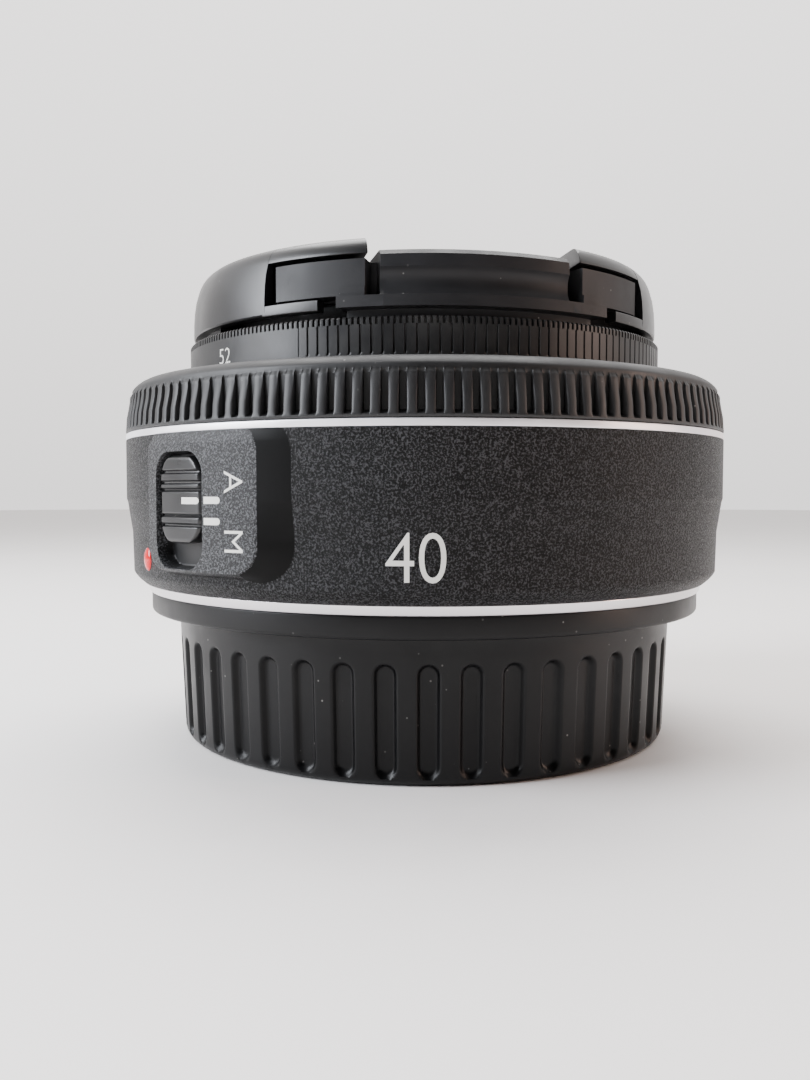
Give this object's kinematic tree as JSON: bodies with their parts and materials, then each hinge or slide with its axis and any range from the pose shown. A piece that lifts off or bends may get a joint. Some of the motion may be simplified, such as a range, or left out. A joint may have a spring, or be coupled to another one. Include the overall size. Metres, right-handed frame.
{
  "type": "prime camera lens",
  "caption": "Thin autofocus prime camera lens with ribbed focus ring, bayonet mount, iris and optics, wearing a protective filter, a pinch front cap and a ribbed rear cap.",
  "frame": {"origin": "centre of the rear cap's bottom face, on the optical axis", "axes": "+Z along the optical axis towards the front of the lens; -Y side carries the focal length numeral"},
  "size_m": [0.0682, 0.0682, 0.0512],
  "materials": {
    "rear_cap_plastic": "moulded satin black",
    "mount_steel": "machined and polished",
    "trim_aluminium": "bright turned",
    "screw_steel": "plated",
    "black_screw_steel": "black oxide",
    "casing_plastic": "fine wrinkle texture",
    "black_plastic": "moulded matt",
    "dot_red": "glossy",
    "contact_gold": "gold plated",
    "board_green": "solder mask",
    "chip_black": "moulded package",
    "flex_film": "polyimide film",
    "gear_plastic": "moulded acetal",
    "gear_brass": "cut brass",
    "motor_steel": "drawn can",
    "bracket_steel": "pressed sheet",
    "black_aluminium": "black anodised",
    "lens_glass": "coated",
    "blade_steel": "blackened spring steel",
    "cap_plastic": "moulded satin"
  },
  "bodies": {
    "lens_body": {"mount_bayonet": "mount_steel", "mount_screws": "screw_steel", "contact_block": "black_plastic", "contact_pins": "contact_gold", "rear_baffle": "black_plastic", "baffle_screws": "black_screw_steel", "rear_casing": "casing_plastic", "index_dot": "dot_red", "trim_ring": "trim_aluminium", "main_board": "board_green", "board_chips": "chip_black", "board_screws": "screw_steel", "flex_cable": "flex_film", "guide_tube": "black_plastic", "cam_ring_clip": "screw_steel", "focus_motor": "motor_steel", "gear_bracket": "bracket_steel", "ring_bed": "black_plastic", "ring_retainer": "black_plastic", "ring_sensor": "black_plastic"},
    "rear_cap": {"rear_cap": "rear_cap_plastic"},
    "mode_switch": {"switch_knob": "black_plastic", "switch_slider": "gear_plastic"},
    "focus_ring": {"focus_ring": "black_plastic"},
    "cam_ring": {"cam_ring": "black_aluminium"},
    "idler_gear": {"idler_gear": "gear_plastic"},
    "motor_pinion": {"motor_pinion": "gear_brass"},
    "front_group": {"front_barrel": "black_aluminium", "cam_followers": "gear_plastic", "front_cell": "black_aluminium", "cell_screws": "screw_steel", "front_name_ring": "black_plastic", "front_element": "lens_glass", "front_retainer": "black_aluminium", "lens_spacer": "black_aluminium", "second_element": "lens_glass", "third_element": "lens_glass", "iris_base": "black_plastic", "iris_cover": "black_plastic", "iris_motor": "motor_steel", "rear_cell": "black_aluminium", "fourth_element": "lens_glass", "fifth_element": "lens_glass", "rear_element": "lens_glass"},
    "iris_drive_ring": {"iris_drive_ring": "gear_plastic"},
    "iris_pinion": {"iris_pinion": "gear_brass"},
    "filter": {"filter_ring": "black_aluminium", "filter_glass": "lens_glass", "filter_retainer": "black_aluminium"},
    "front_cap": {"cap_body": "cap_plastic", "cap_springs": "screw_steel"},
    "cap_lever_left": {"cap_lever_left": "cap_plastic"},
    "cap_lever_right": {"cap_lever_right": "cap_plastic"},
    "iris_blade_1": {"iris_blade_1": "blade_steel"},
    "iris_blade_2": {"iris_blade_2": "blade_steel"},
    "iris_blade_3": {"iris_blade_3": "blade_steel"},
    "iris_blade_4": {"iris_blade_4": "blade_steel"},
    "iris_blade_5": {"iris_blade_5": "blade_steel"},
    "iris_blade_6": {"iris_blade_6": "blade_steel"},
    "iris_blade_7": {"iris_blade_7": "blade_steel"}
  },
  "joints": [
    {"name": "rear_cap_off", "type": "slide", "parent": "lens_body", "child": "rear_cap", "axis": [0, 0, -1], "range_m": [0, 0.03]},
    {"name": "mode_switch_slide", "type": "slide", "parent": "lens_body", "child": "mode_switch", "axis": [0, 0, -1], "range_m": [0, 0.002]},
    {"name": "focus_ring_turn", "type": "hinge", "parent": "lens_body", "child": "focus_ring", "pos_m": [0, 0, 0.0365], "axis": [0, 0, 1], "continuous": true},
    {"name": "focus_travel", "type": "slide", "parent": "lens_body", "child": "front_group", "axis": [0, 0, 1], "range_m": [0, 0.007], "deforming": ["flex_cable"]},
    {"name": "cam_ring_turn", "type": "hinge", "parent": "lens_body", "child": "cam_ring", "pos_m": [0, 0, 0.026], "axis": [0, 0, 1], "range_deg": [0, 105]},
    {"name": "idler_turn", "type": "hinge", "parent": "lens_body", "child": "idler_gear", "pos_m": [0.02296, 0.01221, 0.0208], "axis": [0, 0, 1], "range_deg": [-830, 0]},
    {"name": "pinion_turn", "type": "hinge", "parent": "lens_body", "child": "motor_pinion", "pos_m": [0.0211, 0.01685, 0.0208], "axis": [0, 0, 1], "range_deg": [0, 1240]},
    {"name": "iris_ring_turn", "type": "hinge", "parent": "front_group", "child": "iris_drive_ring", "pos_m": [0, 0, 0.025], "axis": [0, 0, -1], "range_deg": [0, 30]},
    {"name": "iris_pinion_turn", "type": "hinge", "parent": "front_group", "child": "iris_pinion", "pos_m": [0.01279, 0.00616, 0.025], "axis": [0, 0, 1], "range_deg": [0, 237]},
    {"name": "filter_off", "type": "slide", "parent": "front_group", "child": "filter", "axis": [0, 0, 1], "range_m": [0, 0.02]},
    {"name": "front_cap_off", "type": "slide", "parent": "filter", "child": "front_cap", "axis": [0, 0, 1], "range_m": [0, 0.04]},
    {"name": "lever_left_pinch", "type": "slide", "parent": "front_cap", "child": "cap_lever_left", "axis": [0.9816, 0.1908, 0], "range_m": [0, 0.0009], "stiffness_N_per_m": 200, "springref_m": -0.003},
    {"name": "lever_right_pinch", "type": "slide", "parent": "front_cap", "child": "cap_lever_right", "axis": [-0.9816, -0.1908, 0], "range_m": [0, 0.0009], "stiffness_N_per_m": 200, "springref_m": -0.003},
    {"name": "blade_1_turn", "type": "hinge", "parent": "front_group", "child": "iris_blade_1", "pos_m": [0.0135, 0, 0.024], "axis": [0, 0, 1], "range_deg": [0, 22]},
    {"name": "blade_2_turn", "type": "hinge", "parent": "front_group", "child": "iris_blade_2", "pos_m": [0.00842, 0.01055, 0.024], "axis": [0, 0, 1], "range_deg": [0, 22]},
    {"name": "blade_3_turn", "type": "hinge", "parent": "front_group", "child": "iris_blade_3", "pos_m": [-0.003, 0.01316, 0.024], "axis": [0, 0, 1], "range_deg": [0, 22]},
    {"name": "blade_4_turn", "type": "hinge", "parent": "front_group", "child": "iris_blade_4", "pos_m": [-0.01216, 0.00586, 0.024], "axis": [0, 0, 1], "range_deg": [0, 22]},
    {"name": "blade_5_turn", "type": "hinge", "parent": "front_group", "child": "iris_blade_5", "pos_m": [-0.01216, -0.00586, 0.024], "axis": [0, 0, 1], "range_deg": [0, 22]},
    {"name": "blade_6_turn", "type": "hinge", "parent": "front_group", "child": "iris_blade_6", "pos_m": [-0.003, -0.01316, 0.024], "axis": [0, 0, 1], "range_deg": [0, 22]},
    {"name": "blade_7_turn", "type": "hinge", "parent": "front_group", "child": "iris_blade_7", "pos_m": [0.00842, -0.01055, 0.024], "axis": [0, 0, 1], "range_deg": [0, 22]}
  ],
  "couplings": [
    {"joint": "focus_travel", "follows": "cam_ring_turn", "m_per_rad": 0.0038197},
    {"joint": "idler_turn", "follows": "cam_ring_turn", "ratio": -7.6667},
    {"joint": "pinion_turn", "follows": "cam_ring_turn", "ratio": 11.5},
    {"joint": "iris_pinion_turn", "follows": "iris_ring_turn", "ratio": 7.875},
    {"joint": "blade_1_turn", "follows": "iris_ring_turn", "ratio": 0.73333},
    {"joint": "blade_2_turn", "follows": "iris_ring_turn", "ratio": 0.73333},
    {"joint": "blade_3_turn", "follows": "iris_ring_turn", "ratio": 0.73333},
    {"joint": "blade_4_turn", "follows": "iris_ring_turn", "ratio": 0.73333},
    {"joint": "blade_5_turn", "follows": "iris_ring_turn", "ratio": 0.73333},
    {"joint": "blade_6_turn", "follows": "iris_ring_turn", "ratio": 0.73333},
    {"joint": "blade_7_turn", "follows": "iris_ring_turn", "ratio": 0.73333}
  ]
}
